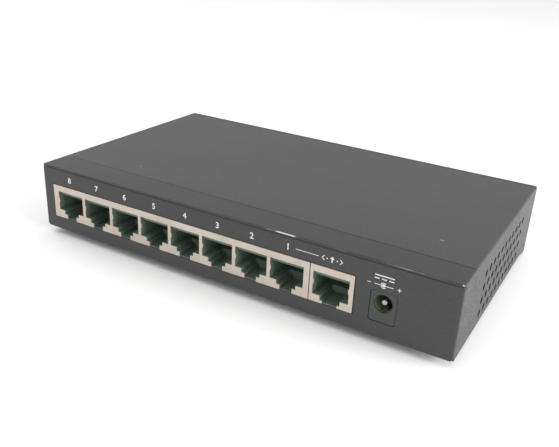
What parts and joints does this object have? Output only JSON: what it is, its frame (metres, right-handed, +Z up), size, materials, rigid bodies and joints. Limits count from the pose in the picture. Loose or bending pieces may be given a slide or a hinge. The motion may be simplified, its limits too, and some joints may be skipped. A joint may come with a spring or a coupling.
{
  "type": "desktop network switch",
  "caption": "Flat steel desktop network switch with a row of modular jacks, an uplink jack and a coaxial power inlet on one long side, vented ends and status lights on the other side.",
  "frame": {"origin": "on the resting plane, under the middle of the case", "axes": "+Z up, jacks face -Y, status lights face +Y, power jack at the +X end"},
  "size_m": [0.17, 0.0984, 0.0295],
  "materials": {
    "cover_paint": "fine textured charcoal powder coat",
    "pan_paint": "fine textured charcoal powder coat",
    "bezel_plastic": "fine grain dark plastic",
    "foot_rubber": "soft black rubber",
    "screw_zinc": "zinc plated",
    "standoff_steel": "plated steel",
    "board_green": "green solder mask on glass epoxy",
    "jack_plastic": "black glass-filled plastic",
    "shield_tin": "satin tinned sheet",
    "wire_gold": "gold flashed spring wire",
    "dc_plastic": "black moulded plastic",
    "pin_nickel": "nickel plated",
    "spring_nickel": "nickel plated spring strip",
    "lug_tin": "tinned lug",
    "holder_plastic": "black plastic",
    "led_resin": "tinted epoxy, unlit",
    "chip_resin": "moulded package",
    "sink_aluminium": "black anodised extrusion",
    "magnetics_resin": "moulded module",
    "can_metal": "pressed can",
    "ferrite": "sintered ferrite",
    "capacitor_sleeve": "shrunk sleeve over an aluminium can",
    "fuse_body": "moulded body",
    "ceramic_tan": "ceramic",
    "resistor_black": "glazed film on ceramic"
  },
  "bodies": {
    "base": {"base_pan": "pan_paint", "led_bezel": "bezel_plastic", "rubber_feet": "foot_rubber", "cover_screws": "screw_zinc", "board_standoffs": "standoff_steel", "board_screws": "screw_zinc", "main_board": "board_green", "port_block_housing": "jack_plastic", "port_block_shield": "shield_tin", "uplink_housing": "jack_plastic", "uplink_shield": "shield_tin", "dc_jack_body": "dc_plastic", "dc_jack_pin": "pin_nickel", "dc_jack_terminals": "lug_tin", "led_holder": "holder_plastic", "status_leds": "led_resin", "switch_chip": "chip_resin", "heat_sink": "sink_aluminium", "transceiver_chips": "chip_resin", "magnetics_modules": "magnetics_resin", "buffer_memory": "chip_resin", "setup_memory": "chip_resin", "clock_crystal": "can_metal", "clock_oscillator": "can_metal", "voltage_regulators": "chip_resin", "power_inductors": "ferrite", "bulk_capacitors": "capacitor_sleeve", "input_fuse": "fuse_body", "input_diode": "chip_resin", "ferrite_beads": "ferrite", "chip_capacitors": "ceramic_tan", "chip_resistors": "resistor_black", "resistor_networks": "resistor_black"},
    "cover": {"top_cover": "cover_paint"},
    "power_leaf": {"dc_jack_spring": "spring_nickel"},
    "port_8_wires": {"port_8_contacts": "wire_gold"},
    "port_7_wires": {"port_7_contacts": "wire_gold"},
    "port_6_wires": {"port_6_contacts": "wire_gold"},
    "port_5_wires": {"port_5_contacts": "wire_gold"},
    "port_4_wires": {"port_4_contacts": "wire_gold"},
    "port_3_wires": {"port_3_contacts": "wire_gold"},
    "port_2_wires": {"port_2_contacts": "wire_gold"},
    "port_1_wires": {"port_1_contacts": "wire_gold"},
    "uplink_wires": {"uplink_contacts": "wire_gold"}
  },
  "joints": [
    {"name": "cover_lift", "type": "slide", "parent": "base", "child": "cover", "axis": [0, 0, 1], "range_m": [0, 0.06]},
    {"name": "port_8_wires_flex", "type": "hinge", "parent": "base", "child": "port_8_wires", "pos_m": [0, -0.0469, 0.0188], "axis": [1, 0, 0], "range_deg": [0, 13], "stiffness_Nm_per_rad": 0.16, "springref_deg": -5.73},
    {"name": "port_7_wires_flex", "type": "hinge", "parent": "base", "child": "port_7_wires", "pos_m": [0, -0.0469, 0.0188], "axis": [1, 0, 0], "range_deg": [0, 13], "stiffness_Nm_per_rad": 0.16, "springref_deg": -5.73},
    {"name": "port_6_wires_flex", "type": "hinge", "parent": "base", "child": "port_6_wires", "pos_m": [0, -0.0469, 0.0188], "axis": [1, 0, 0], "range_deg": [0, 13], "stiffness_Nm_per_rad": 0.16, "springref_deg": -5.73},
    {"name": "port_5_wires_flex", "type": "hinge", "parent": "base", "child": "port_5_wires", "pos_m": [0, -0.0469, 0.0188], "axis": [1, 0, 0], "range_deg": [0, 13], "stiffness_Nm_per_rad": 0.16, "springref_deg": -5.73},
    {"name": "port_4_wires_flex", "type": "hinge", "parent": "base", "child": "port_4_wires", "pos_m": [0, -0.0469, 0.0188], "axis": [1, 0, 0], "range_deg": [0, 13], "stiffness_Nm_per_rad": 0.16, "springref_deg": -5.73},
    {"name": "port_3_wires_flex", "type": "hinge", "parent": "base", "child": "port_3_wires", "pos_m": [0, -0.0469, 0.0188], "axis": [1, 0, 0], "range_deg": [0, 13], "stiffness_Nm_per_rad": 0.16, "springref_deg": -5.73},
    {"name": "port_2_wires_flex", "type": "hinge", "parent": "base", "child": "port_2_wires", "pos_m": [0, -0.0469, 0.0188], "axis": [1, 0, 0], "range_deg": [0, 13], "stiffness_Nm_per_rad": 0.16, "springref_deg": -5.73},
    {"name": "port_1_wires_flex", "type": "hinge", "parent": "base", "child": "port_1_wires", "pos_m": [0, -0.0469, 0.0188], "axis": [1, 0, 0], "range_deg": [0, 13], "stiffness_Nm_per_rad": 0.16, "springref_deg": -5.73},
    {"name": "uplink_wires_flex", "type": "hinge", "parent": "base", "child": "uplink_wires", "pos_m": [0, -0.0469, 0.0188], "axis": [1, 0, 0], "range_deg": [0, 13], "stiffness_Nm_per_rad": 0.16, "springref_deg": -5.73},
    {"name": "power_leaf_flex", "type": "hinge", "parent": "base", "child": "power_leaf", "pos_m": [0.0612, -0.0404, 0.00965], "axis": [1, 0, 0], "range_deg": [0, 5], "stiffness_Nm_per_rad": 0.15, "springref_deg": -4.58}
  ]
}
